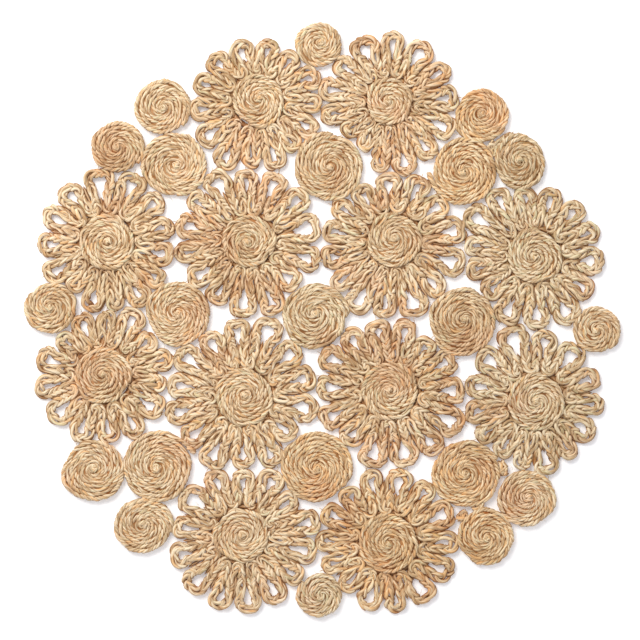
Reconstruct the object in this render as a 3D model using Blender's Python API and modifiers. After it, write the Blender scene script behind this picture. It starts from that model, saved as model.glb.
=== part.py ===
"""A round openwork placemat of braided jute: looped flowers and coiled discs, sewn edge to edge.

Metres, +Z up. The mat lies flat on z = 0 with its middle over the origin, and +Y is its top edge.
Each flower is a coiled core with one long braid looped round it, in and out, to make the petals.
"""

import math
from collections import namedtuple

import bmesh
import bpy

MM = 0.001

# The middle of the layout's outer box, in its own millimetres. It goes over the origin.
MIDDLE_X = -0.65
MIDDLE_Y = 0.95

# Heights above the table, in millimetres.
PETAL_HEIGHT = 5.0
COIL_HEIGHT = 5.6

# The petals' braid, in millimetres. It squeezes narrower where the loops crowd round the core.
BRAID = 5.0
TIP_BRAID = 4.9
TOP_SHARE = 0.56
SLIT = 0.4
GAP = 0.3

PETALS = 14
CLOSED_TO = 10.0  # from the core's edge out, the two sides of a petal lie against each other
SETTLING_ROUNDS = 60
FLANK = 0.8  # where along a petal its side is also held clear of the next flower
CORNERS = 1 / math.cos(math.pi / 8)  # the tips are half octagons, whose corners stand out

COIL_SIDES = 16
# The turned section of a coil, from the middle out: share of the radius, share of the height.
COIL_SECTION = (
    (0.00, 0.93),
    (0.34, 1.00),
    (0.60, 0.90),
    (0.87, 0.96),
    (1.00, 0.50),
    (1.00, 0.00),
    (0.00, 0.00),
)

# Linear colours of the jute: pale straw, redder amber, greyer ash.
SHADES = {
    "straw": (0.60, 0.41, 0.215),
    "amber": (0.56, 0.335, 0.155),
    "ash": (0.57, 0.43, 0.26),
}
ROUGHNESS = 0.62

Flower = namedtuple("Flower", "name x y core first drift drift_to reach swing swing_to shade")
Disc = namedtuple("Disc", "name x y half_width half_depth shade")

# Each flower: its middle and its core's radius; the first petal's bearing, and how far and towards
# which bearing the petals drift from even spacing; their reach from the middle, and how far and
# towards which bearing it swings. Lengths in millimetres, bearings in degrees from +X.
FLOWERS = (
    Flower("a", -41.9, 140.8, 16.3, 30, 5.7, 180, 42.8, 2.3, 240, "straw"),
    Flower("b", 41.9, 140.8, 14.6, 7, 6.6, 152, 44.8, 0.6, 169, "straw"),
    Flower("c", -138.6, 50.6, 17.3, 21, 8.5, 190, 44.6, 1.2, 74, "straw"),
    Flower("d", -47.7, 51.2, 16.3, 11, 4.6, 91, 48.6, 1.6, 197, "straw"),
    Flower("e", 45.1, 51.8, 17.0, 12, 9.7, 129, 46.9, 3.8, 263, "straw"),
    Flower("f", 135.4, 41.6, 17.0, 18, 6.6, 57, 44.9, 0.7, 173, "ash"),
    Flower("g", -141.1, -35.2, 17.6, 13, 6.0, 309, 43.1, 1.4, 199, "straw"),
    Flower("h", -50.9, -48.6, 17.9, 15, 4.7, 76, 49.0, 2.5, 148, "straw"),
    Flower("i", 42.6, -44.8, 17.9, -2, 2.1, 357, 47.8, 0.8, 277, "straw"),
    Flower("j", 136.0, -51.8, 17.9, 28, 7.2, 147, 45.0, 2.0, 145, "ash"),
    Flower("k", -52.8, -137.0, 17.0, 15, 6.6, 233, 47.4, 3.0, 280, "straw"),
    Flower("l", 41.3, -142.1, 18.6, -1, 4.6, 73, 46.5, 1.3, 77, "amber"),
)

# Each coiled disc: its middle, and half its width and depth, in millimetres.
DISCS = (
    Disc("a", -3.5, 177.0, 14.1, 14.1, "straw"),
    Disc("b", -103.0, 137.0, 17.3, 17.2, "straw"),
    Disc("c", -131.5, 111.4, 16.5, 16.0, "straw"),
    Disc("d", -95.7, 100.2, 20.6, 19.9, "straw"),
    Disc("e", 3.2, 98.9, 21.4, 21.4, "straw"),
    Disc("f", 89.9, 95.7, 20.2, 21.1, "amber"),
    Disc("g", 101.1, 131.2, 17.0, 16.3, "amber"),
    Disc("h", 125.7, 101.9, 15.7, 17.6, "ash"),
    Disc("i", -174.7, 8.3, 16.0, 16.0, "straw"),
    Disc("j", -93.1, 4.8, 20.2, 19.8, "straw"),
    Disc("k", -5.4, 3.2, 20.5, 20.5, "ash"),
    Disc("l", 88.6, -0.6, 21.1, 21.1, "straw"),
    Disc("m", 175.0, -5.8, 14.4, 14.7, "straw"),
    Disc("n", -147.4, -96.0, 19.4, 19.2, "straw"),
    Disc("o", -105.9, -92.8, 21.8, 22.1, "straw"),
    Disc("p", -115.2, -130.9, 18.4, 16.9, "straw"),
    Disc("q", -4.5, -93.1, 22.1, 22.1, "amber"),
    Disc("r", 91.5, -97.9, 21.8, 20.5, "amber"),
    Disc("s", 129.9, -113.6, 18.0, 17.8, "straw"),
    Disc("t", 103.7, -137.9, 17.7, 17.5, "amber"),
    Disc("u", -2.9, -175.4, 13.8, 13.8, "ash"),
)


class Petal:
    """One loop of a flower's braid, about the flower's middle, in millimetres and radians."""

    def __init__(self, flower, bearing, reach):
        self.flower = flower
        self.bearing = bearing
        self.reach = reach
        self.ahead = 0.0  # half the angle to the next petal, where the braid folds back
        self.half = 0.0  # the smaller of that and the half angle to the petal before

    def tip_round(self):
        """(distance of the tip's middle, radius of the braid's centreline round it)."""
        room = math.sin(self.half)
        inside = self.reach - TIP_BRAID / 2
        radius = (inside * room - TIP_BRAID / 2 - SLIT / 2) / (1 + room)
        return inside - radius, radius

    def blobs(self):
        """The circles (x, y, radius) that bound the petal's tip and its flank."""
        far, radius = self.tip_round()
        yield *self.at(far, 0.0), radius + TIP_BRAID / 2
        yield *self.at(FLANK * far, 0.0), FLANK * far * math.sin(self.half)

    def at(self, along, aside):
        """The mat's point that lies along the petal's bearing and to its left."""
        c, s = math.cos(self.bearing), math.sin(self.bearing)
        return self.flower.x + along * c - aside * s, self.flower.y + along * s + aside * c


def in_turn(things):
    """Each thing with the one after it, all the way round."""
    return zip(things, things[1:] + things[:1])


def petals_of(flower):
    """A flower's petals in turn, before they meet their neighbours."""
    petals = []
    for step in range(PETALS):
        even = flower.first + step * 360 / PETALS
        bearing = even + flower.drift * math.cos(math.radians(even - flower.drift_to))
        far = flower.reach + flower.swing * math.cos(math.radians(bearing - flower.swing_to))
        petals.append(Petal(flower, math.radians(bearing), far))
    for this, after in in_turn(petals):
        this.ahead = (after.bearing - this.bearing) % (2 * math.pi) / 2
    for before, this in in_turn(petals):
        this.half = min(before.ahead, this.ahead)
    return petals


def disc_edge(disc, x, y):
    """How far a disc's edge lies from its middle, towards a point."""
    across, deep = x - disc.x, y - disc.y
    return math.hypot(across, deep) / math.hypot(across / disc.half_width, deep / disc.half_depth)


def settle(wreaths):
    """Shortens the petals that run into a disc or into the next flower, as the maker does."""
    for _ in range(SETTLING_ROUNDS):
        for number, petals in enumerate(wreaths):
            others = [other for later in wreaths[number + 1:] for other in later]
            for petal in petals:
                clear_discs(petal)
                for other in others:
                    part_petals(petal, other)


def clear_discs(petal):
    for x, y, radius in petal.blobs():
        for disc in DISCS:
            apart = math.hypot(x - disc.x, y - disc.y)
            bite = disc_edge(disc, x, y) + radius * CORNERS + GAP - apart
            petal.reach -= max(0.0, bite) / 2


def part_petals(one, other):
    apart = math.hypot(other.flower.x - one.flower.x, other.flower.y - one.flower.y)
    if apart > one.reach + other.reach:
        return
    for x, y, radius in one.blobs():
        for u, v, size in other.blobs():
            bite = (radius + size) * CORNERS + GAP - math.hypot(x - u, y - v)
            one.reach -= max(0.0, bite) / 4
            other.reach -= max(0.0, bite) / 4


def fold_width(petal):
    """The braid's width at the tight fold against the core, where the loops crowd together."""
    room = math.sin(petal.ahead)
    fits = ((petal.flower.core + GAP + SLIT / 2) * room - SLIT) / (1 - room)
    return min(BRAID, fits)


def stations(petals):
    """The braid's centreline round a flower: (x, y, width) about the flower's middle."""
    path = []
    for petal in petals:
        open_at = petal.flower.core + CLOSED_TO
        beside = min(BRAID, open_at * math.sin(petal.half) - SLIT)
        aside = (beside + SLIT) / 2
        far, radius = petal.tip_round()
        corner = radius * math.tan(math.pi / 8)
        local = (
            (open_at, -aside, beside),
            (far + corner, -radius, TIP_BRAID),
            (far + radius, -corner, TIP_BRAID),
            (far + radius, corner, TIP_BRAID),
            (far + corner, radius, TIP_BRAID),
            (open_at, aside, beside),
        )
        for along, left, width in local:
            x, y = petal.at(along, left)
            path.append((x - petal.flower.x, y - petal.flower.y, width))
        path.extend(fold(petal))
    return path


def fold(petal):
    """The three stations of the inward fold that follows a petal, on half a hexagon."""
    width = fold_width(petal)
    radius = (width + SLIT) / 2
    corner = radius / math.sqrt(3)
    bottom = petal.flower.core + GAP + width / math.sqrt(3)
    bearing = petal.bearing + petal.ahead
    c, s = math.cos(bearing), math.sin(bearing)
    for along, left in ((bottom + corner, -radius), (bottom, 0.0), (bottom + corner, radius)):
        yield along * c - left * s, along * s + left * c, width


def shade_of(name):
    """The Principled material of one shade of jute."""
    material = bpy.data.materials.get("jute_" + name) or bpy.data.materials.new("jute_" + name)
    material.use_nodes = True
    surface = material.node_tree.nodes["Principled BSDF"]
    surface.inputs["Base Color"].default_value = (*SHADES[name], 1.0)
    surface.inputs["Roughness"].default_value = ROUGHNESS
    surface.inputs["Metallic"].default_value = 0.0
    material.diffuse_color = (*SHADES[name], 1.0)
    return material


def add_piece(name, mesh, place, mat, folder):
    """Sews a flower's or a disc's piece to the mat, in its shade and at its place."""
    piece = bpy.data.objects.new(name, mesh)
    mesh.materials.append(shade_of(place.shade))
    piece.location = (place.x * MM, place.y * MM, 0.0)
    piece.parent = mat
    folder.objects.link(piece)
    return piece


def cross_line(path, number):
    """(bearing, half length) of the line across the braid at a station, on the corner's mitre."""
    (back_x, back_y, _), (x, y, width) = path[number - 1], path[number]
    on_x, on_y, _ = path[(number + 1) % len(path)]
    arrive = math.atan2(y - back_y, x - back_x)
    leave = math.atan2(on_y - y, on_x - x)
    turn = (leave - arrive + math.pi) % (2 * math.pi) - math.pi
    return arrive + turn / 2 + math.pi / 2, width / 2 / math.cos(turn / 2)


def braid_mesh(name, path):
    """A closed braid lofted through its stations, flat below and narrower on top."""
    section = ((-1, 0), (1, 0), (TOP_SHARE, PETAL_HEIGHT), (-TOP_SHARE, PETAL_HEIGHT))
    build = bmesh.new()
    rings = []
    for number, (x, y, _) in enumerate(path):
        bearing, half = cross_line(path, number)
        across = half * math.cos(bearing), half * math.sin(bearing)
        rings.append([
            build.verts.new(((x + share * across[0]) * MM, (y + share * across[1]) * MM, z * MM))
            for share, z in section
        ])
    for ring, after in in_turn(rings):
        for k in range(len(section)):
            build.faces.new((ring[k], ring[k - 1], after[k - 1], after[k]))
    bmesh.ops.recalc_face_normals(build, faces=build.faces)
    mesh = bpy.data.meshes.new(name)
    build.to_mesh(mesh)
    build.free()
    return mesh


def coil_profile(name, radius):
    """The turned section's outline, from the middle of the top round to the middle below."""
    points = [(share * radius * MM, 0.0, rise * COIL_HEIGHT * MM) for share, rise in COIL_SECTION]
    mesh = bpy.data.meshes.new(name)
    mesh.from_pydata(points, [(k, k + 1) for k in range(len(points) - 1)], [])
    return mesh


def add_coil(name, place, half_width, half_depth, mat, folder):
    """A coil of braid sewn into a low round, turned from its section and a little oval."""
    coil = add_piece(name, coil_profile(name, half_width), place, mat, folder)
    coil.scale = (1.0, half_depth / half_width, 1.0)
    screw = coil.modifiers.new("Turned", "SCREW")
    screw.steps = screw.render_steps = COIL_SIDES
    screw.use_merge_vertices = True
    screw.merge_threshold = 0.00001
    screw.use_smooth_shade = True


def add_flower(flower, petals, mat, folder):
    name = "flower_" + flower.name
    petal_braid = braid_mesh(name + "_petals", stations(petals))
    add_piece(name + "_petals", petal_braid, flower, mat, folder)
    add_coil(name + "_core", flower, flower.core, flower.core, mat, folder)


def clear_scene():
    for old in list(bpy.data.objects):
        bpy.data.objects.remove(old, do_unlink=True)


def main():
    clear_scene()
    folder = bpy.data.collections.new("Placemat")
    bpy.context.scene.collection.children.link(folder)
    mat = bpy.data.objects.new("placemat", None)
    mat.location = (-MIDDLE_X * MM, -MIDDLE_Y * MM, 0.0)
    folder.objects.link(mat)
    wreaths = [petals_of(flower) for flower in FLOWERS]
    settle(wreaths)
    for flower, petals in zip(FLOWERS, wreaths):
        add_flower(flower, petals, mat, folder)
    for disc in DISCS:
        add_coil("disc_" + disc.name, disc, disc.half_width, disc.half_depth, mat, folder)


main()
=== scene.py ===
"""The looks of the round braided jute placemat.

Every solid of the frame is stood for by the braid that it is made of, each strand swept along its
own way over and under the others. In the petals the braid lies flat, and in the coiled cores and
discs it stands on edge. Lengths are in millimetres and angles in radians, unless a name says
otherwise, until a mesh is made in metres.
"""

import math
from collections import namedtuple
from dataclasses import dataclass

import bpy
import numpy as np
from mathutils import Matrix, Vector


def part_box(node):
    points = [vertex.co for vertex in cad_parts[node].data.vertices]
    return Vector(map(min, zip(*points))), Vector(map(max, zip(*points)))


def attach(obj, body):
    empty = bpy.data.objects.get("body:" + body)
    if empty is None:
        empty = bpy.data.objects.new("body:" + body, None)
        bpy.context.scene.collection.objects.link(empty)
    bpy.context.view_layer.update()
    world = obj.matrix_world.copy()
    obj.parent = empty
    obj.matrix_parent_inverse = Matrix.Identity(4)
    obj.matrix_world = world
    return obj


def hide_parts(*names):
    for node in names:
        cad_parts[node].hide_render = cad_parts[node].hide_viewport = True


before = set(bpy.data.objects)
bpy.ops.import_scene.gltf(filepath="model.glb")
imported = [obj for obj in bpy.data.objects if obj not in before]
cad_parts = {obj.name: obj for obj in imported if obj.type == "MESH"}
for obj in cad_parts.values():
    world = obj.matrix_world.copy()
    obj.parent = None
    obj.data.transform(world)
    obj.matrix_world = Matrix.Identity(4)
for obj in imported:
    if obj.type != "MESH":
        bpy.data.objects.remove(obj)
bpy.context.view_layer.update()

MM = 0.001
SEED = 20

# The camera looks straight down on what the photograph's square frame takes in.
VIEW_WIDTH = 409.6
VIEW_MIDDLE = (-1.6, -0.3)
VIEW_TOP = 4.0  # the height at which the frame is that wide
LENS = 110.0
SENSOR = 36.0

# The sizes of the rule by which the solids' wreaths are laid out.
TIP_BRAID = 4.9  # the braid's width round a petal's tip
SLIT = 0.4  # from one petal of a flower to the next
GAP = 0.3  # from a petal to what lies before it
PETALS = 14
SETTLING_ROUNDS = 60
FLANK = 0.8  # where along a petal its side is also held clear of the next flower
CORNERS = 1 / math.cos(math.pi / 8)  # the tips are half octagons, whose corners stand out


@dataclass(frozen=True)
class Plait:
    """How a braid's strands are plaited, and how dark they are painted in it, as painted shade."""

    flat: bool = False  # lying flat, or standing on edge
    strands: int = 0  # how many show on top
    length: float = 0.0  # of one whole plait
    across: float = 0.0  # how far the strands swing to each side across the plait,
    through: float = 0.0  # and how far they weave through it
    half_across: float = 0.0  # a strand's own half width across,
    half_through: float = 0.0  # and its half thickness through
    taper: float = 0.0  # how much slimmer a strand is where it has gone under
    stray: float = 0.0  # how far a strand strays to the sides
    drift: float = 0.0  # how far the plait's turns run ahead of even ones or behind, in radians
    depth_shade: float = 0.0  # how dark a strand is painted halfway down into the braid, as painted shade, from 0 to 1,
    edge_shade: float = 0.0  # and along its own two edges

    @property
    def half_height(self):
        if self.flat:
            return self.through + self.half_through
        return self.across + self.half_across


FLAT = Plait(
    flat=True, strands=4, length=19.0, across=1.84, through=0.95, half_across=1.02,
    half_through=1.16, taper=0.10, stray=0.26, drift=0.6, depth_shade=0.76, edge_shade=0.33,
)
ON_EDGE = Plait(
    strands=3, length=9.0, across=1.15, through=0.80, half_across=1.60, half_through=0.98,
    taper=0.15, stray=0.14, drift=1.2, depth_shade=0.51, edge_shade=0.22,
)
BRAID_HALF = FLAT.across + FLAT.half_across  # half the flat braid's width

Flower = namedtuple("Flower", "name first drift drift_to reach swing swing_to")
# Bearings in degrees from +X: the first petal's, and how far and towards where the petals drift
# from even spacing; their reach, and how far and towards where it swings.
FLOWERS = (
    Flower("a", 30, 5.7, 180, 42.8, 2.3, 240),
    Flower("b", 7, 6.6, 152, 44.8, 0.6, 169),
    Flower("c", 21, 8.5, 190, 44.6, 1.2, 74),
    Flower("d", 11, 4.6, 91, 48.6, 1.6, 197),
    Flower("e", 12, 9.7, 129, 46.9, 3.8, 263),
    Flower("f", 18, 6.6, 57, 44.9, 0.7, 173),
    Flower("g", 13, 6.0, 309, 43.1, 1.4, 199),
    Flower("h", 15, 4.7, 76, 49.0, 2.5, 148),
    Flower("i", -2, 2.1, 357, 47.8, 0.8, 277),
    Flower("j", 28, 7.2, 147, 45.0, 2.0, 145),
    Flower("k", 15, 6.6, 233, 47.4, 3.0, 280),
    Flower("l", -1, 4.6, 73, 46.5, 1.3, 77),
)
DISC_NAMES = "abcdefghijklmnopqrstu"

# The flowers and discs of the more orange jute, and of the greyer one.
AMBER = ("flower_l", "disc_f", "disc_g", "disc_q", "disc_r", "disc_t")
ASH = ("flower_f", "flower_j", "disc_h", "disc_k", "disc_u")


class Round:
    """Where a core or a disc lies: its middle and half its width and depth."""

    def __init__(self, node):
        low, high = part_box(node)
        self.x, self.y = (low.x + high.x) / 2 / MM, (low.y + high.y) / 2 / MM
        self.half_width, self.half_depth = (high.x - low.x) / 2 / MM, (high.y - low.y) / 2 / MM


CORES = {flower.name: Round(f"flower_{flower.name}_core") for flower in FLOWERS}
DISCS = {name: Round("disc_" + name) for name in DISC_NAMES}


# --- The layout of the petals, by the solids' own rule -------------------------------------------


class Petal:
    """One loop of a flower's braid, about the flower's middle."""

    def __init__(self, core, bearing, reach):
        self.core = core
        self.bearing = bearing
        self.reach = reach
        self.ahead = 0.0  # half the angle to the next petal
        self.behind = 0.0  # and to the one before
        self.half = 0.0  # the smaller of the two
        self.meets = False  # whether its tip presses on something,
        self.free = False  # or has room all round it, at the mat's rim

    def tip_round(self):
        """(distance of the tip's middle, radius of the braid's centreline round it)."""
        room = math.sin(self.half)
        inside = self.reach - TIP_BRAID / 2
        radius = (inside * room - TIP_BRAID / 2 - SLIT / 2) / (1 + room)
        return inside - radius, radius

    def blobs(self):
        """The rounds that its tip and its flank fill: each one's middle and radius."""
        far, radius = self.tip_round()
        yield *self.at(far, 0.0), radius + TIP_BRAID / 2
        yield *self.at(FLANK * far, 0.0), FLANK * far * math.sin(self.half)

    def at(self, along, aside, turned=0.0):
        """The mat's point that lies along the petal's bearing, turned ahead, and to its left."""
        c, s = math.cos(self.bearing + turned), math.sin(self.bearing + turned)
        return self.core.x + along * c - aside * s, self.core.y + along * s + aside * c


def in_turn(things):
    """Each thing with the next one, the last with the first."""
    return zip(things, things[1:] + things[:1])


def petals_of(flower):
    """A flower's petals, where its row of the table has them."""
    petals = []
    for step in range(PETALS):
        even = flower.first + step * 360 / PETALS
        bearing = even + flower.drift * math.cos(math.radians(even - flower.drift_to))
        far = flower.reach + flower.swing * math.cos(math.radians(bearing - flower.swing_to))
        petals.append(Petal(CORES[flower.name], math.radians(bearing), far))
    for this, after in in_turn(petals):
        this.ahead = (after.bearing - this.bearing) % (2 * math.pi) / 2
    for before, this in in_turn(petals):
        this.behind = before.ahead
        this.half = min(before.ahead, this.ahead)
    return petals


def disc_edge(disc, x, y):
    """How far from a disc's middle its edge lies, towards a point."""
    across, deep = x - disc.x, y - disc.y
    return math.hypot(across, deep) / math.hypot(across / disc.half_width, deep / disc.half_depth)


def settle(wreaths):
    """Shortens the petals that run into a disc or into the next flower."""
    for _ in range(SETTLING_ROUNDS):
        for number, petals in enumerate(wreaths):
            others = [other for later in wreaths[number + 1:] for other in later]
            for petal in petals:
                clear_discs(petal)
                for other in others:
                    part_petals(petal, other)


def clear_discs(petal):
    for x, y, radius in petal.blobs():
        for disc in DISCS.values():
            apart = math.hypot(x - disc.x, y - disc.y)
            bite = disc_edge(disc, x, y) + radius * CORNERS + GAP - apart
            petal.reach -= max(0.0, bite) / 2


def part_petals(one, other):
    apart = math.hypot(other.core.x - one.core.x, other.core.y - one.core.y)
    if apart > one.reach + other.reach:
        return
    for x, y, radius in one.blobs():
        for u, v, size in other.blobs():
            bite = (radius + size) * CORNERS + GAP - math.hypot(x - u, y - v)
            one.reach -= max(0.0, bite) / 4
            other.reach -= max(0.0, bite) / 4


PRESS = 0.3  # how far a soft loop presses into what it meets, by the sizes of their solids
STRETCH = 5.0  # how much further than its solid a loop may reach to meet something
PROUD = 4.4  # and how much further it lies where it meets nothing
RIM_PROUD = 0.8  # which is less at the mat's rim,
RIM = 150.0  # this far from the middle
DRAW_IN = 1.0  # how much too far out a loop is taken to lie at most, where it presses too hard
STRETCHING_ROUNDS = 6


def stretch(wreaths):
    """Lets each soft loop out until it presses on the disc or the loop before it."""
    for turn in range(STRETCHING_ROUNDS):
        for petals in wreaths:
            others = [(disc.x, disc.y, disc.half_width) for disc in DISCS.values()]
            for later in wreaths:
                if later is not petals:
                    others += [next(other.blobs()) for other in later]
            for petal in petals:
                room = room_ahead(petal, others)
                petal.meets = room < STRETCH
                at_rim = math.hypot(*petal.at(petal.reach, 0.0)) > RIM
                petal.free = at_rim and not petal.meets
                if petal.meets:
                    petal.reach += room / 2
                elif turn == 0:
                    petal.reach += RIM_PROUD if at_rim else PROUD


def room_ahead(petal, others):
    """How far a loop can go out before it presses on one of the other rounds."""
    x, y, radius = next(petal.blobs())
    c, s = math.cos(petal.bearing), math.sin(petal.bearing)
    room = STRETCH
    for u, v, size in others:
        ahead, aside = (u - x) * c + (v - y) * s, (v - y) * c - (u - x) * s
        meet = radius + size - PRESS
        if ahead > 0 and abs(aside) < meet:
            room = min(room, ahead - math.sqrt(meet ** 2 - aside ** 2))
    return max(room, -DRAW_IN)


# --- Paths ---------------------------------------------------------------------------------------

# Between a strand's rings on a straight run, lying flat and on edge, and the most that its path
# turns between two of them.
FLAT_STEP, EDGE_STEP, TURN = 1.5, 1.15, 0.45


class Path:
    """A braid's centreline: points, the way to its left, running length, width as a share, and
    how much of its plaiting is done by each point, by the pace that it is plaited at there."""

    def __init__(self, points, share, pace, closed):
        self.points = points
        self.share = share
        self.closed = closed
        ahead = self.change(points)
        self.along = np.concatenate(([0.0], np.cumsum(np.hypot(*np.diff(points, axis=0).T))))
        ahead /= np.hypot(*ahead.T)[:, None]
        self.left = np.stack((-ahead[:, 1], ahead[:, 0]), 1)
        loop = np.hypot(*(points[0] - points[-1])) if closed else 0.0
        self.length = self.along[-1] + loop
        self.part = self.along / self.length
        done = np.concatenate(([0.0], np.cumsum(np.diff(self.along) * pace[:-1])))
        self.plaited = done / (done[-1] + loop * pace[-1])

    def change(self, values):
        if self.closed:
            return (np.roll(values, -1, 0) - np.roll(values, 1, 0)) / 2
        return np.gradient(values, axis=0)


def spread(points, share, pace, closed, step):
    """The path with its points respaced: a step apart on the straight, closer where it turns."""
    if closed:
        points = np.concatenate((points, points[:1]))
        share, pace = np.append(share, share[0]), np.append(pace, pace[0])
    ahead = np.diff(points, axis=0)
    bearing = np.unwrap(np.arctan2(ahead[:, 1], ahead[:, 0]))
    turn = np.abs(np.diff(bearing, append=bearing[-1]))
    cost = np.concatenate(([0.0], np.cumsum(np.hypot(*ahead.T) / step + turn / TURN)))
    count = int(round(cost[-1]))
    at = np.linspace(0.0, cost[-1], count, endpoint=not closed)
    even = np.stack([np.interp(at, cost, points[:, k]) for k in (0, 1)], 1)
    return Path(even, np.interp(at, cost, share), np.interp(at, cost, pace), closed)


def softened(values, spacing, reach):
    """A closed run of values, blurred over a distance."""
    waves = np.fft.fftfreq(len(values), spacing) * 2 * math.pi
    damp = np.exp(-((waves * reach) ** 2) / 2)
    if values.ndim > 1:
        damp = damp[:, None]
    return np.real(np.fft.ifft(np.fft.fft(values, axis=0) * damp, axis=0))


ARC_POINTS, LEG_POINTS = 13, 4
FINE = 0.3  # the spacing of a wreath's points while it is softened
SOFTEN, SOFTEN_SHARE = 0.9, 2.0  # over what distance its course is, and its width and pace
LEG_SHARE = 1.27  # the braid's width against its usual one: where the legs lie side by side,
TIP_SHARE = 1.20  # and round a petal's tip
TIP_PACE = 0.75  # how much slower the strands cross there than along the legs
TIP_HALF = TIP_SHARE * BRAID_HALF
TIP_PRESS = 0.25  # how far two tips of a flower press into each other
TIP_BLUNT = 0.88  # how far a tip's bow stands out against its half width
FREE_BOW = 2.35  # the power of its curve, where an oval has 2,
BOW = 2.75  # and where the mat presses it flatter
CROWD = 1.22  # how much more width the legs take near the core than there is room for
FOLD_BITE = 1.0  # how far the tight folds are laid into the edge of the core's solid
FOLD_RISE = 4.5  # from the core's edge to where a fold has become two legs
EYE_FROM = (4.5, 9.0)  # how far short of the tip's middle a petal's eye starts
LEAN = 0.17  # how far a tip leans into its neighbour's room, as a share of its own
# Where the slit between a petal's own two legs starts from the core and ends before the eye, and
# where the slit between two petals starts past the fold and ends past the tip's middle.
SLIT_FROM, SLIT_SHORT = 2.5, 0.5
FOLD_SLIT_FROM, VALLEY = 1.0, 0.9


def arc(petal, middle, radius, start, end, turned=0.0):
    """Points round a middle on the petal's axis, or on the axis turned ahead of it."""
    for angle in np.linspace(start, end, ARC_POINTS):
        yield petal.at(middle + radius * math.cos(angle), radius * math.sin(angle), turned)


def squared(wave, power):
    """A sine or cosine drawn towards a square's, as a superellipse has it."""
    return np.sign(wave) * np.abs(wave) ** (2 / power)


def bow(petal, far, behind, ahead):
    """A tip's blunt curve, from the side behind its axis to the side ahead."""
    widest = (behind + ahead) / 2
    power = FREE_BOW if petal.free else BOW
    for angle in np.linspace(-math.pi / 2, math.pi / 2, ARC_POINTS):
        side = ahead if angle > 0 else behind
        out = TIP_BLUNT * widest * squared(math.cos(angle), power)
        yield petal.at(far + out, side * squared(math.sin(angle), power))


def leg_share(distance, half_angle):
    """A leg's width share at a distance from the flower's middle, by the room that it has."""
    room = 2 * distance * math.sin(half_angle / 2) * CROWD
    return min(LEG_SHARE, room / (2 * BRAID_HALF))


def leg(petal, distances, half_angle, leaning, side):
    """A leg's points, halfway between its petal's axis and the fold's beside it, then leaning."""
    for part, distance in zip(np.linspace(0, 1, len(distances)), distances):
        angle = (half_angle + leaning * part) / 2
        along, aside = distance * math.cos(angle), side * distance * math.sin(angle)
        yield petal.at(along, aside), leg_share(distance, half_angle)


def wreath_path(petals, random):
    """Out along a petal, round its tip, back, and round the tight fold to the next; then the
    slits between the legs, each from one point to another."""
    run, slits = [], []
    leans = [petal.ahead * random.uniform(-LEAN, LEAN) for petal in petals]
    for number, petal in enumerate(petals):
        core = petal.core.half_width
        lean_behind, lean_ahead = -leans[number - 1], leans[number]
        behind, ahead = petal.behind + lean_behind, petal.ahead + lean_ahead
        room = (math.sin(behind) + math.sin(ahead)) / 2
        inside = petal.reach - TIP_HALF
        far = (inside + TIP_BLUNT * (TIP_HALF - TIP_PRESS)) / (1 + TIP_BLUNT * room)
        folded = core + FOLD_RISE
        distances = np.linspace(folded, far - random.uniform(*EYE_FROM), LEG_POINTS)
        closed_to = distances[-1] - SLIT_SHORT
        slits.append((petal.at(core + SLIT_FROM, 0.0), petal.at(closed_to, 0.0)))
        valley = far + (0 if petal.free else VALLEY)
        slits.append((
            petal.at(folded + FOLD_SLIT_FROM, 0.0, ahead), petal.at(valley, 0.0, ahead),
        ))
        run += [(*step, 1.0) for step in leg(petal, distances, petal.behind, lean_behind, -1)]
        sides = [far * math.sin(angle) - TIP_HALF + TIP_PRESS for angle in (behind, ahead)]
        run += [(point, TIP_SHARE, TIP_PACE) for point in bow(petal, far, *sides)]
        back = [(*step, 1.0) for step in leg(petal, distances, petal.ahead, lean_ahead, 1)]
        run += back[::-1]
        turn = folded * math.sin(petal.ahead / 2)
        share = leg_share(folded, petal.ahead)
        middle = core + share * BRAID_HALF + turn - FOLD_BITE
        fold = arc(petal, middle, turn, -math.pi / 2, -3 * math.pi / 2, petal.ahead)
        run += [(point, share, 1.0) for point in fold]
    return softened_path(run), slits


def softened_path(run):
    """The closed path through a run of points, each with its width share and its pace."""
    points, share, pace = [np.array(values) for values in zip(*run)]
    closed = np.concatenate((points, points[:1]))
    length = np.concatenate(([0.0], np.cumsum(np.hypot(*np.diff(closed, axis=0).T))))
    count = int(length[-1] / FINE)
    at = np.arange(count) * length[-1] / count
    fine = np.stack([np.interp(at, length, closed[:, k]) for k in (0, 1)], 1)
    fine_share = np.interp(at, length, np.append(share, share[0]))
    fine_pace = np.interp(at, length, np.append(pace, pace[0]))
    spacing = length[-1] / count
    fine = softened(fine, spacing, SOFTEN)
    fine_share = softened(fine_share, spacing, SOFTEN_SHARE)
    fine_pace = softened(fine_pace, spacing, SOFTEN_SHARE)
    return spread(fine, fine_share, fine_pace, True, FLAT_STEP)


# From one turn of a coil to the next, at its middle and at its rim: it is begun tighter.
ROW_IN, ROW = 2.15, 2.8
INNERMOST = 0.7  # the radius at which a coil is begun
COIL_POINTS = 120  # on each turn, before they are respaced
COIL_PROUD = 0.9  # how far a coil's soft rim stands out from its solid's
OFF_MIDDLE = 1.3  # how far a coil's innermost turn may lie from the middle
TAIL = 14.0  # how much of a coil's outer end is tucked against the row inside it,
TUCK = (0.25, 0.8)  # and by how much of a row
TAIL_TAPER = 0.35  # how much narrower an end is that is tucked by a whole row
# Waves round a coil, and the most by which each widens or narrows its radius, as a share.
WOBBLES = ((2, 0.014), (3, 0.018), (4, 0.014), (5, 0.012))
# Bearings, in degrees, of the ends that stand proud instead, and by how much of a row.
STUBS = {"f": 183, "o": 20}
STUB = -0.6


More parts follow.
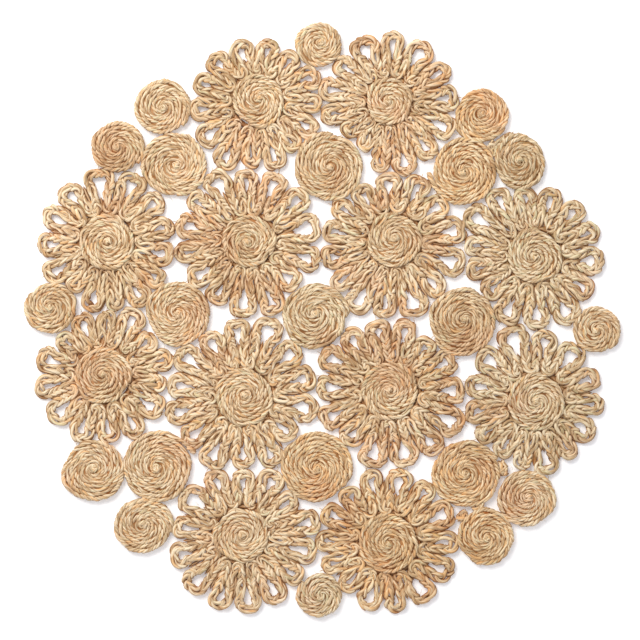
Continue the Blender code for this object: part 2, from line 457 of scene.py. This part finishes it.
def coil_path(place, start, tucked, random):
    """Inwards from the rim, a row at a time, with a tapered end tucked against the outer row."""
    outer = place.half_width + COIL_PROUD - ON_EDGE.through - ON_EDGE.half_through + ROW / 2
    # The rows narrow evenly with the radius, so that the spiral is an exponential one.
    widens = (ROW - ROW_IN) / outer
    beyond = ROW_IN / widens
    turns = math.log((outer + beyond) / (INNERMOST + beyond)) / widens
    angle = np.linspace(0.0, turns * 2 * math.pi, int(turns * COIL_POINTS))
    radius = (outer + beyond) * np.exp(-widens * angle / (2 * math.pi)) - beyond
    row_share = (ROW_IN + widens * radius) / ROW
    tuck = np.clip(1 - angle * outer / TAIL, 0, 1) ** 2
    radius = radius - tuck * ROW * tucked
    for wave, size in WOBBLES:
        radius = radius * (1 + random.uniform(-size, size) * np.sin(wave * (angle + start)))
    # A turn ends a row further in than it starts: its middle lies aside, so that the rim is round.
    aside = ROW / math.pi * radius / outer
    off = random.uniform(-OFF_MIDDLE, OFF_MIDDLE, (2, 1)) * (1 - radius / outer)
    depth = place.half_depth / place.half_width
    across = radius * np.cos(start + angle) - aside * math.cos(start + math.pi / 2) + off[0]
    deep = radius * np.sin(start + angle) - aside * math.sin(start + math.pi / 2) + off[1]
    share = (1 - TAIL_TAPER * tuck * tucked) * row_share
    points = np.stack((place.x + across, place.y + depth * deep), 1)
    return spread(points, share, np.ones(len(points)), False, EDGE_STEP)


# --- Strands -------------------------------------------------------------------------------------

WANDER_WAVES = 9  # how many sines a wavering is made up of


def wander(random, part, slowest, quickest, size):
    """A smooth wavering along a path, with so many waves in its whole length."""
    total = np.zeros_like(part)
    waves = random.integers(slowest, quickest + 1, WANDER_WAVES)
    for wave in waves:
        total += np.sin(2 * math.pi * (wave * part + random.random()))
    return total * size / math.sqrt(len(waves) / 2)


class Heap:
    """Meshes gathered into one: points, faces, and what the material reads at each point: its place
    along the fibre, and its painted shade.
    """

    def __init__(self):
        self.points, self.faces, self.fibre, self.deep = [], [], [], []
        self.count = 0

    def add(self, points, faces, fibre, deep):
        self.points.append(points)
        self.faces.append(faces + self.count)
        self.fibre.append(fibre)
        self.deep.append(deep)
        self.count += len(points)

    def piece(self, name, material):
        points = np.concatenate(self.points) * MM
        faces = np.concatenate(self.faces).astype(np.int32)
        mesh = bpy.data.meshes.new(name)
        mesh.vertices.add(len(points))
        mesh.vertices.foreach_set("co", points.astype(np.float32).ravel())
        mesh.loops.add(faces.size)
        mesh.loops.foreach_set("vertex_index", faces.ravel())
        mesh.polygons.add(len(faces))
        mesh.polygons.foreach_set("loop_start", np.arange(0, faces.size, 4, dtype=np.int32))
        mesh.update(calc_edges=True)
        mesh.shade_smooth()
        fibre = mesh.attributes.new("fibre", "FLOAT_VECTOR", "POINT")
        fibre.data.foreach_set("vector", np.concatenate(self.fibre).astype(np.float32).ravel())
        # the painted shade of the crevices, from 0 to 1, which the material darkens by
        deep = mesh.attributes.new("deep", "FLOAT", "POINT")
        deep.data.foreach_set("value", np.concatenate(self.deep).astype(np.float32))
        mesh.materials.append(material)
        piece = bpy.data.objects.new(name, mesh)
        bpy.context.scene.collection.objects.link(piece)
        return piece


# Where a section's points lie round it: a strand's, a hidden strand's and a thread's. Then how
# square it is, as a superellipse's power.
RIDGE = np.radians((90.0, 22.0, -60.0, -120.0, 158.0))
DIAMOND = np.radians((90.0, 0.0, -90.0, 180.0))
TRIANGLE = np.radians((90.0, -30.0, 210.0))
SQUARE = 2.5
BLUNT = (0.02, 0.86)  # a strand's end: its first rings' sizes
FIBRE_TWIST = 0.11  # how far the fibres turn round their strand in a millimetre
FIBRE_SPAN = 400.0  # the length of fibre that the strands take their streaks from


def quads(rings, sides, closed):
    """The faces between each ring of points and the next, all the way round."""
    ring = np.arange(rings if closed else rings - 1)[:, None]
    after = (ring + 1) % rings
    k = np.arange(sides)
    on = (k + 1) % sides
    corners = (ring * sides + k, after * sides + k, after * sides + on, ring * sides + on)
    return np.stack(corners, 2).reshape(-1, 4)


def tube(heap, spine, half_side, half_up, along, seed, plait, closed=False, section=RIDGE):
    """Sweeps a rounded section along a spine, and rounds its ends off if it is open."""
    sides = len(section)
    if closed:
        ahead = np.roll(spine, -1, 0) - np.roll(spine, 1, 0)
    else:
        ahead = np.gradient(spine, axis=0)
    ahead /= np.linalg.norm(ahead, axis=1)[:, None]
    side = np.stack((ahead[:, 1], -ahead[:, 0], np.zeros(len(ahead))), 1)
    side /= np.maximum(np.linalg.norm(side, axis=1)[:, None], 1e-9)
    up = np.cross(side, ahead)
    if not closed:
        ends = np.ones(len(spine))
        ends[:2], ends[:-3:-1] = BLUNT, BLUNT
        half_side, half_up = half_side * ends, half_up * ends
    wide, high = squared(np.cos(section), SQUARE), squared(np.sin(section), SQUARE)
    across = (wide[None, :] * half_side[:, None])[:, :, None] * side[:, None, :]
    through = (high[None, :] * half_up[:, None])[:, :, None] * up[:, None, :]
    points = (spine[:, None, :] + across + through).reshape(-1, 3)
    points[:, 2] = np.maximum(points[:, 2], 0.0)
    lie = section[None, :] + along[:, None] * FIBRE_TWIST
    start = np.repeat(along[:, None] + seed * FIBRE_SPAN, sides, 1)
    fibre = np.stack((start, np.cos(lie), np.sin(lie)), 2).reshape(-1, 3)
    # Painted shade: a point is painted the darker, the deeper it lies in the braid and the nearer
    # it lies to its strand's edges, where the crevices are in shade.
    depth = 1 - np.abs(points[:, 2] / plait.half_height - 1)
    edge = np.tile(wide ** 2, len(spine))
    deep = np.clip(plait.depth_shade * depth + plait.edge_shade * edge, 0, 1)
    heap.add(points, quads(len(spine), sides, closed), fibre, deep)


EASE = 0.82  # lying flat, how straight a strand crosses from edge to edge,
LINGER = 0.26  # and how much of its way is on top, going outwards, more than underneath
HUG = 1.0  # on edge, how long it stays on top before it dives again
# How uneven a braid is, by waves that its length sets: the first of these is the length for one of
# the slowest. Then how its plaits' length departs from the usual, how far its turns run ahead or
# behind over short stretches, in radians, and how far the whole braid rolls, sways and rises.
LONG_WAVE = 40.0
PLAIT_LENGTHS = (0.92, 1.12)
FLUTTER = 0.3
ROLL, SWAY, RISE = 0.17, 0.20, 0.15
# How uneven each strand is: how far it runs ahead of its turn, in radians, swells, and swings wide.
HASTE, SWELL, SWING = 0.28, 0.08, 0.07


def crossing(plait, turn):
    """A strand's place across its plait and through it, from -1 to 1, at a turn of the plait, and
    how far it has gone under, from 0 to 1."""
    if plait.flat:
        turn = turn + LINGER * np.cos(2 * turn)
        swing = np.arcsin(EASE * np.sin(turn)) / math.asin(EASE)
        return swing, np.sin(2 * turn), (1 - np.sin(2 * turn)) / 2
    swing = np.tanh(HUG * np.sin(turn)) / math.tanh(HUG)
    return swing, np.cos(turn), (1 - np.sin(turn)) / 2


def plaited(heap, path, plait, hand, random):
    """Strands over and under along a path, lying flat or standing on edge."""
    plaits = max(1, round(path.length / plait.length / random.uniform(*PLAIT_LENGTHS)))
    waves = max(2, int(path.length / LONG_WAVE))
    phase = 2 * math.pi * plaits * path.plaited
    phase = phase + wander(random, path.part, 1, waves * 2, plait.drift)
    phase = phase + wander(random, path.part, waves * 2, waves * 4, FLUTTER)
    phase = phase * hand
    roll = wander(random, path.part, waves, waves * 3, ROLL)
    sway = wander(random, path.part, waves, waves * 4, SWAY)
    rise = wander(random, path.part, waves, waves * 3, RISE)
    for strand in range(plait.strands):
        turn = phase + strand * 2 * math.pi / plait.strands
        turn = turn + wander(random, path.part, waves, waves * 4, HASTE)
        thick = path.share * (1 + wander(random, path.part, waves, waves * 6, SWELL))
        swing, weave, under = crossing(plait, turn)
        swing = plait.across * path.share * swing
        swing = swing * (1 + wander(random, path.part, waves, waves * 4, SWING))
        weave = plait.through * weave
        side = thick * (1 - plait.taper * under)
        if plait.flat:
            aside, height = swing, weave
            half_side, half_up = plait.half_across * side, plait.half_through * thick
        else:
            aside, height = weave * path.share, swing
            half_side, half_up = plait.half_through * side, plait.half_across * thick
        aside = aside + wander(random, path.part, waves, waves * 4, plait.stray)
        across = aside * np.cos(roll) - height * np.sin(roll) + sway
        upward = aside * np.sin(roll) + height * np.cos(roll) + rise
        place = path.points + path.left * across[:, None]
        spine = np.column_stack((place, plait.half_height + upward))
        tube(heap, spine, half_side, half_up, path.along, random.random(), plait, path.closed)


# --- Materials -----------------------------------------------------------------------------------

Jute = namedtuple("Jute", "light middle dark warm_from cool_from")
# Linear colours: the fibre's pale, usual and dark tones; then how high a noise has to be, from 0
# to 1, before a strand turns orange or grey there.
JUTES = {
    "jute_straw": Jute((0.90, 0.755, 0.54), (0.72, 0.515, 0.292), (0.40, 0.24, 0.105), 0.56, 0.60),
    "jute_amber": Jute((0.90, 0.74, 0.50), (0.72, 0.495, 0.26), (0.40, 0.22, 0.095), 0.525, 0.64),
    "jute_ash": Jute((0.87, 0.74, 0.53), (0.685, 0.505, 0.29), (0.39, 0.25, 0.11), 0.59, 0.57),
}
WARM_RANGE, COOL_RANGE = 0.12, 0.14  # and how much higher before it has turned wholly
# What a stretch of strand or a patch of the mat multiplies its colour by; and, as painted shade,
# what a crevice multiplies its colour by.
WARM = (0.93, 0.70, 0.48)
COOL = (0.86, 0.92, 0.84)
PINK = (1.0, 0.91, 0.88)
SHADY = (0.87, 0.83, 0.77)
DULL = (0.66, 0.55, 0.44)
# Painted shade: the brown that the crevices between and under the strands are darkened by.
CREVICE_PAINTED_SHADE = (0.48, 0.26, 0.10)

Noise = namedtuple("Noise", "along round detail")
# How quickly each noise of a strand changes along it, by the millimetre, and round it, on a circle
# of radius 1; and its detail.
STRAND_NOISES = {
    "yarn": Noise(0.07, 0.30, 1.0),
    "bundle": Noise(0.11, 0.85, 1.0),
    "streak": Noise(0.20, 2.1, 3.0),
    "fine": Noise(0.5, 6.5, 2.0),
    "warm": Noise(0.07, 0.45, 2.0),
    "cool": Noise(0.055, 0.45, 1.0),
}
# How quickly each noise of the whole mat changes, by the metre.
MAT_NOISES = {"patch": 16.0, "blush": 31.0}

FINISH = {
    "Roughness": 0.50,
    "Specular IOR Level": 0.34,
    "Sheen Weight": 0.12,
    "Sheen Roughness": 0.4,
}
RELIEF = {"Strength": 0.8, "Distance": 0.0004}  # of the fibre's bump, its height in metres

Layer = namedtuple("Layer", "noise none full way tone")


def layers(tones):
    """What is laid over a jute's middle tone, in turn: the noise that a layer follows, the levels
    where it is nowhere to be seen and where it is full, and the tone that it blends in."""
    return (
        Layer("bundle", 0.43, 0.60, "MIX", tones.light),
        Layer("yarn", 0.51, 0.37, "MULTIPLY", DULL),
        Layer("yarn", 0.52, 0.68, "MIX", tones.light),
        Layer("streak", 0.475, 0.32, "MIX", tones.dark),
        Layer("streak", 0.54, 0.68, "MIX", tones.light),
        Layer("fine", 0.56, 0.80, "MIX", tones.light),
        Layer("warm", tones.warm_from, tones.warm_from + WARM_RANGE, "MULTIPLY", WARM),
        Layer("cool", tones.cool_from, tones.cool_from + COOL_RANGE, "MULTIPLY", COOL),
        Layer("blush", 0.50, 0.66, "MULTIPLY", PINK),
        Layer("patch", 0.48, 0.68, "MULTIPLY", SHADY),
        # Painted shade: the strands are darkened towards brown where they lie deep in the braid and
        # along their edges.
        Layer("deep", 0.12, 0.95, "MULTIPLY", CREVICE_PAINTED_SHADE),
    )


def set_inputs(node, values):
    for name, value in values.items():
        node.inputs[name].default_value = value


class Nodes:
    """A material's nodes, made one after another."""

    def __init__(self, tree):
        self.tree = tree

    def make(self, kind, **values):
        made = self.tree.nodes.new(kind)
        for key, value in values.items():
            setattr(made, key, value)
        return made

    def read(self, attribute):
        return self.make("ShaderNodeAttribute", attribute_name=attribute)

    def noise(self, vector, scale, detail, label):
        stretch = self.make("ShaderNodeVectorMath", operation="MULTIPLY")
        self.tree.links.new(vector, stretch.inputs[0])
        stretch.inputs[1].default_value = scale
        made = self.make("ShaderNodeTexNoise", name=label)
        set_inputs(made, {"Scale": 1.0, "Detail": detail})
        self.tree.links.new(stretch.outputs[0], made.inputs["Vector"])
        return made.outputs["Fac"]

    def ramp(self, value, low, high):
        made = self.make("ShaderNodeMapRange", interpolation_type="SMOOTHSTEP")
        set_inputs(made, {"From Min": low, "From Max": high})
        self.tree.links.new(value, made.inputs["Value"])
        return made.outputs["Result"]

    def blend(self, factor, one, other, way):
        made = self.make("ShaderNodeMix", data_type="RGBA", blend_type=way)
        self.tree.links.new(factor, made.inputs["Factor"])
        for socket, colour in ((made.inputs[6], one), (made.inputs[7], other)):
            if isinstance(colour, tuple):
                socket.default_value = (*colour, 1.0)
            else:
                self.tree.links.new(colour, socket)
        return made.outputs[2]


def jute(name):
    """Bundled fibre: pale and brown streaks along the strand, orange and grey stretches of it,
    larger patches over the mat, and brown painted shade between the strands."""
    tones = JUTES[name]
    material = bpy.data.materials.new(name)
    material.use_nodes = True
    nodes = Nodes(material.node_tree)
    fibre = nodes.read("fibre").outputs["Vector"]
    place = nodes.make("ShaderNodeTexCoord").outputs["Object"]
    # the painted shade of the crevices, which each point carries
    levels = {"deep": nodes.read("deep").outputs["Fac"]}
    for label, (along, round_it, detail) in STRAND_NOISES.items():
        levels[label] = nodes.noise(fibre, (along, round_it, round_it), detail, label)
    for label, scale in MAT_NOISES.items():
        levels[label] = nodes.noise(place, (scale, scale, scale), 1.0, label)
    colour = tones.middle
    for layer in layers(tones):
        level = nodes.ramp(levels[layer.noise], layer.none, layer.full)
        colour = nodes.blend(level, colour, layer.tone, layer.way)
    surface = material.node_tree.nodes["Principled BSDF"]
    set_inputs(surface, FINISH)
    bump = nodes.make("ShaderNodeBump")
    set_inputs(bump, RELIEF)
    links = material.node_tree.links
    links.new(colour, surface.inputs["Base Color"])
    links.new(levels["streak"], bump.inputs["Height"])
    links.new(bump.outputs["Normal"], surface.inputs["Normal"])
    return material


def slot_of(name):
    if name.startswith(AMBER):
        return "jute_amber"
    return "jute_ash" if name.startswith(ASH) else "jute_straw"


# --- The mat -------------------------------------------------------------------------------------


def sew_on(heap, node, materials):
    """Makes the heap the piece that stands for a solid."""
    piece = heap.piece(node + "_braid", materials[slot_of(node)])
    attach(piece, "root")
    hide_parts(node)


# The hidden strands in the slits stand in for the shade there: they lie low in the braid, so they
# are painted dark.
SLIT_RINGS = 7
SLIT_HALF, SLIT_HALF_UP = 1.1, 1.15  # a hidden strand's half width and half height
SLIT_STRAY, SLIT_SUNK = 0.2, 0.3  # how far it strays, and how far under the braid's middle it is


def close_slit(heap, start, end, random):
    """A hidden strand in the slit between two legs, lying low so that it is painted dark, as
    painted shade.
    """
    part = np.linspace(0, 1, SLIT_RINGS)[:, None]
    spine = np.empty((SLIT_RINGS, 3))
    spine[:, :2] = np.array(start) * (1 - part) + np.array(end) * part
    spine[:, :2] += random.uniform(-SLIT_STRAY, SLIT_STRAY, (SLIT_RINGS, 2))
    spine[:, 2] = FLAT.half_height - SLIT_SUNK
    along = part[:, 0] * math.dist(start, end)
    half, half_up = np.full(SLIT_RINGS, SLIT_HALF), np.full(SLIT_RINGS, SLIT_HALF_UP)
    tube(heap, spine, half, half_up, along, random.random(), FLAT, section=DIAMOND)


# The painted shade of a thread or a loose fibre: by its depth in a braid 6 mm high, and along its
# own edges.
THREAD = Plait(across=3.0, depth_shade=0.25, edge_shade=0.15)
THREAD_HALF, FIBRE_HALF = 0.24, 0.09  # half the thickness of each
HAIR_POINTS = 6
HAIR_STREAK = 8.0  # the length of fibre that either takes its streaks from
STITCH = 2.0  # how far a stitch reaches to each side of the seam it crosses
DIVE = 0.9  # and how far its ends go down between the strands
STITCH_ARCH = 0.6  # the power of a sine that it arches by: under 1, its top is the flatter
FOLD_STITCH_ASIDE, TIP_STITCH_ASIDE = 0.8, 1.5  # how far it may lie from the middle of its seam
TIP_STITCH_RISE = 0.3  # how much higher than its near end a tip stitch's far end lies
FIBRES = 20  # loose fibres on each piece
FIBRE_LONG = (3.0, 8.0)
FIBRE_BEND = 1.4  # how far it turns over its length, in radians
FIBRE_ARCH, FIBRE_FALL = (0.1, 0.9), (0.0, 1.5)  # how far its middle rises and its end falls
FIBRE_LOW, FIBRE_TOP = 0.3, 6.2  # the heights that it stays between


def hair(heap, spine, half, random):
    """A thread or a loose fibre."""
    along = np.linspace(0, HAIR_STREAK, len(spine))
    halves = np.full(len(spine), half)
    tube(heap, spine, halves, halves, along, random.random(), THREAD, section=TRIANGLE)


def stitch(heap, inner, outer, inner_top, outer_top, random):
    """A thread across a seam, from one piece's top to the other's."""
    part = np.linspace(0, 1, HAIR_POINTS)
    x, y = [inner[k] + (outer[k] - inner[k]) * part for k in (0, 1)]
    over = np.sin(math.pi * part) ** STITCH_ARCH
    height = inner_top + (outer_top - inner_top) * part - DIVE * (1 - over)
    hair(heap, np.stack((x, y, height), 1), THREAD_HALF, random)


def fray(heap, random):
    """Loose fibres that stand off a piece, from anywhere on its upper side."""
    points = np.concatenate(heap.points)
    points = points[points[:, 2] > FLAT.half_height]
    part = np.linspace(0, 1, HAIR_POINTS)
    for x, y, z in points[random.integers(0, len(points), FIBRES)]:
        bearing = random.uniform(0, 2 * math.pi) + random.uniform(-FIBRE_BEND, FIBRE_BEND) * part
        step = random.uniform(*FIBRE_LONG) / len(part)
        rise = random.uniform(*FIBRE_ARCH) * np.sin(math.pi * part)
        rise = rise - random.uniform(*FIBRE_FALL) * part
        spine = np.stack((
            x + step * np.cumsum(np.cos(bearing)),
            y + step * np.cumsum(np.sin(bearing)),
            np.clip(z + rise, FIBRE_LOW, FIBRE_TOP),
        ), 1)
        hair(heap, spine, FIBRE_HALF, random)


SEAM_IN, SEAM_OUT = -0.6, 3.0  # from the core's edge to where the ring starts and ends
SEAM_SUNK = 0.6  # how far under the flat braid's middle it lies
SEAM_POINTS = 40


def lay_seam(heap, core, random):
    """The hidden ring of strand round a core, under the folds, lying low so that it is painted
    dark: painted shade in the gaps between the folds and the core.
    """
    angle = np.linspace(0, 2 * math.pi, SEAM_POINTS, endpoint=False)
    across, deep = [half + (SEAM_IN + SEAM_OUT) / 2 for half in (core.half_width, core.half_depth)]
    height = np.full_like(angle, FLAT.half_height - SEAM_SUNK)
    spine = np.stack((core.x + across * np.cos(angle), core.y + deep * np.sin(angle), height), 1)
    half = np.full_like(angle, (SEAM_OUT - SEAM_IN) / 2)
    tube(heap, spine, half, half / 2, angle * across, random.random(), FLAT, True, DIAMOND)


def sew_wreath(heap, petals, random):
    """Stitches from each fold to the core, and from each loop that meets something to it."""
    flat_top, edge_top = 2 * FLAT.half_height, 2 * ON_EDGE.half_height
    for petal in petals:
        core = petal.core.half_width
        aside = random.uniform(-FOLD_STITCH_ASIDE, FOLD_STITCH_ASIDE)
        inner = petal.at(core - STITCH, aside, petal.ahead)
        outer = petal.at(core + STITCH, aside, petal.ahead)
        stitch(heap, inner, outer, edge_top, flat_top, random)
        if petal.meets:
            aside = random.uniform(-TIP_STITCH_ASIDE, TIP_STITCH_ASIDE)
            inner = petal.at(petal.reach - STITCH, aside)
            outer = petal.at(petal.reach + STITCH, aside)
            stitch(heap, inner, outer, flat_top, flat_top + TIP_STITCH_RISE, random)


def lay_wreath(flower, petals, materials, random):
    """A flower's looped braid, with what closes its slits and sews it on."""
    path, slits = wreath_path(petals, random)
    heap = Heap()
    plaited(heap, path, FLAT, 1, random)
    for start, end in slits:
        close_slit(heap, start, end, random)
    lay_seam(heap, petals[0].core, random)
    sew_wreath(heap, petals, random)
    fray(heap, random)
    sew_on(heap, f"flower_{flower.name}_petals", materials)


HEARTS = 8  # short strands that cross a coil's middle
HEART_POINTS = 7
HEART_LONG, HEART_HALF = 5.6, 0.80  # one's length, and half its thickness
HEART_TURN = (0.1, 0.9)  # where its bearing lies in its share of the half turn
HEART_OFF, HEART_BOW = 1.7, 0.8  # how far aside it may lie, and how far its ends bend aside
HEART_RISE = 0.7  # how far the highest one's top stands over the coil's,
HEART_UNEVEN = 0.5  # how much lower another's may be,
HEART_FALL = 1.9  # and how much lower its ends are
HEART_TAPER = 0.35  # how much slimmer its ends are
HEART_STREAK = 9.0  # where along the fibre its middle takes its streaks from


def cross_middle(heap, x, y, random):
    """Short lengths of strand bent over a coil's innermost turn, the way its start is sewn."""
    top = 2 * ON_EDGE.half_height
    part = np.linspace(-1, 1, HEART_POINTS)
    for number in range(HEARTS):
        bearing = (number + random.uniform(*HEART_TURN)) * math.pi / HEARTS
        c, s = math.cos(bearing), math.sin(bearing)
        along = part * HEART_LONG / 2
        aside = random.uniform(-HEART_OFF, HEART_OFF)
        aside = aside + random.uniform(-HEART_BOW, HEART_BOW) * part ** 2
        height = top + HEART_RISE - HEART_HALF - random.uniform(0, HEART_UNEVEN)
        height = height - HEART_FALL * part ** 2
        spine = np.stack((x + along * c - aside * s, y + along * s + aside * c, height), 1)
        half = HEART_HALF * (1 - HEART_TAPER * part ** 2)
        tube(heap, spine, half, half, along + HEART_STREAK, random.random(), ON_EDGE)


BED_POINTS = 36
BED_IN = 1.5  # how far inside the coil's rim it ends
BED_HOLE = 0.03  # the share of its radius that is left open in its middle
BED_LOW, BED_HIGH = 1.9, 3.8
BED_PAINTED_SHADE = 0.78  # how dark it is painted, as painted shade in the crevices, from 0 to 1
BED_GRAIN = (1.0, 0.05, 0.05)  # how its streaks are drawn out along the mat's X


def bed(heap, place):
    """The inner strands under a coil's rows, as a sheet painted dark: painted shade in the
    crevices.
    """
    angle = np.arange(BED_POINTS) * 2 * math.pi / BED_POINTS
    corners = ((BED_HOLE, BED_LOW), (1.0, BED_LOW), (1.0, BED_HIGH), (BED_HOLE, BED_HIGH))
    rims = []
    for share, height in corners:
        across = (place.half_width - BED_IN) * share * np.cos(angle)
        deep = (place.half_depth - BED_IN) * share * np.sin(angle)
        rims.append(np.stack((place.x + across, place.y + deep, np.full_like(angle, height)), 1))
    points = np.concatenate(rims)
    # Its rims follow each other the other way round than a strand's rings: its faces are turned.
    faces = quads(len(corners), BED_POINTS, True)[:, (0, 3, 2, 1)]
    heap.add(points, faces, points * BED_GRAIN, np.full(len(points), BED_PAINTED_SHADE))


# Where short flat lengths fill a wedge beside a coil: each one's bearing from the coil's middle in
# degrees, how far out from the rim it lies, its length, and its width share.
PATCHES = {
    "h": ((136, 2.3, 22.0, 1.0), (150, 5.6, 9.0, 1.1)),
    "r": ((9, 2.0, 11.0, 1.25),),
    "t": ((139, 2.2, 9.0, 1.25), (104, 2.0, 9.0, 1.1)),
}
PATCH_POINTS = 12


def patch(heap, place, bearing, out, length, share, random):
    """A short length of flat braid, bent round a coil's rim."""
    distance = place.half_width + out
    part = np.linspace(-0.5, 0.5, PATCH_POINTS)
    turns = math.radians(bearing) + part * length / distance
    points = np.stack((place.x + distance * np.cos(turns), place.y + distance * np.sin(turns)), 1)
    share, pace = np.full(len(points), share), np.ones(len(points))
    path = spread(points, share, pace, False, FLAT_STEP)
    plaited(heap, path, FLAT, 1, random)


OTHER_HAND = 0.25  # the share of the coils whose braid is plaited the other way


def lay_coil(node, place, materials, random):
    """A core's or a disc's coiled braid, with its middle, its bed and the patches beside it."""
    start, tucked = random.random() * 2 * math.pi, random.uniform(*TUCK)
    disc = node.removeprefix("disc_")
    if disc in STUBS:
        start, tucked = math.radians(STUBS[disc]), STUB
    path = coil_path(place, start, tucked, random)
    hand = 1 if random.random() < OTHER_HAND else -1
    heap = Heap()
    plaited(heap, path, ON_EDGE, hand, random)
    cross_middle(heap, *path.points[-1], random)
    bed(heap, place)
    for wedge in PATCHES.get(disc, ()):
        patch(heap, place, *wedge, random)
    fray(heap, random)
    sew_on(heap, node, materials)


# --- The studio ----------------------------------------------------------------------------------

# The floor's, the sky's and the lamp's values, with lengths in metres.
FLOOR_SIZE, FLOOR_TOP = 6.0, -0.0001
FLOOR_PAINT = {
    "Base Color": (0.96, 0.96, 0.97, 1.0),
    "Roughness": 0.9,
    "Emission Color": (0.97, 0.97, 1.0, 1.0),
    "Emission Strength": 0.185,
}
SKY = {"Color": (0.95, 0.96, 1.0, 1.0), "Strength": 0.66}
KEY_PLACE, KEY_SIZE = (-0.55, 0.80, 1.10), 0.9
KEY_WATTS, KEY_COLOUR = 18.6, (1.0, 0.97, 0.92)


def set_floor():
    """A plain pale floor, which glows a little, as a lit white ground does in a photograph."""
    bpy.ops.mesh.primitive_plane_add(size=FLOOR_SIZE, location=(0, 0, FLOOR_TOP))
    floor = bpy.context.object
    floor.name = "floor"
    paint = bpy.data.materials.new("floor_white")
    paint.use_nodes = True
    set_inputs(paint.node_tree.nodes["Principled BSDF"], FLOOR_PAINT)
    floor.data.materials.append(paint)


def set_lights():
    """A pale sky all round, and one soft lamp from the upper left."""
    world = bpy.data.worlds.new("studio")
    world.use_nodes = True
    set_inputs(world.node_tree.nodes["Background"], SKY)
    bpy.context.scene.world = world
    lamp = bpy.data.lights.new("key", "AREA")
    lamp.shape = "DISK"
    lamp.size = KEY_SIZE
    lamp.energy = KEY_WATTS
    lamp.color = KEY_COLOUR
    key = bpy.data.objects.new("key", lamp)
    key.location = KEY_PLACE
    direction = -key.location
    key.rotation_euler = direction.to_track_quat("-Z", "Y").to_euler()
    bpy.context.scene.collection.objects.link(key)
    bpy.context.scene.view_settings.view_transform = "Standard"


def set_camera():
    """Straight above the mat, as far up as its lens needs to take in the frame."""
    lens = bpy.data.cameras.new("camera")
    lens.lens = LENS
    lens.sensor_width = SENSOR
    lens.dof.use_dof = False
    camera = bpy.data.objects.new("camera", lens)
    away = VIEW_WIDTH * LENS / SENSOR
    camera.location = (VIEW_MIDDLE[0] * MM, VIEW_MIDDLE[1] * MM, (VIEW_TOP + away) * MM)
    bpy.context.scene.collection.objects.link(camera)
    bpy.context.scene.camera = camera


def main():
    set_camera()
    set_floor()
    set_lights()
    random = np.random.default_rng(SEED)
    materials = {name: jute(name) for name in JUTES}
    wreaths = [petals_of(flower) for flower in FLOWERS]
    settle(wreaths)
    stretch(wreaths)
    for flower, petals in zip(FLOWERS, wreaths):
        lay_wreath(flower, petals, materials, random)
        lay_coil(f"flower_{flower.name}_core", CORES[flower.name], materials, random)
    for name, place in DISCS.items():
        lay_coil("disc_" + name, place, materials, random)


main()
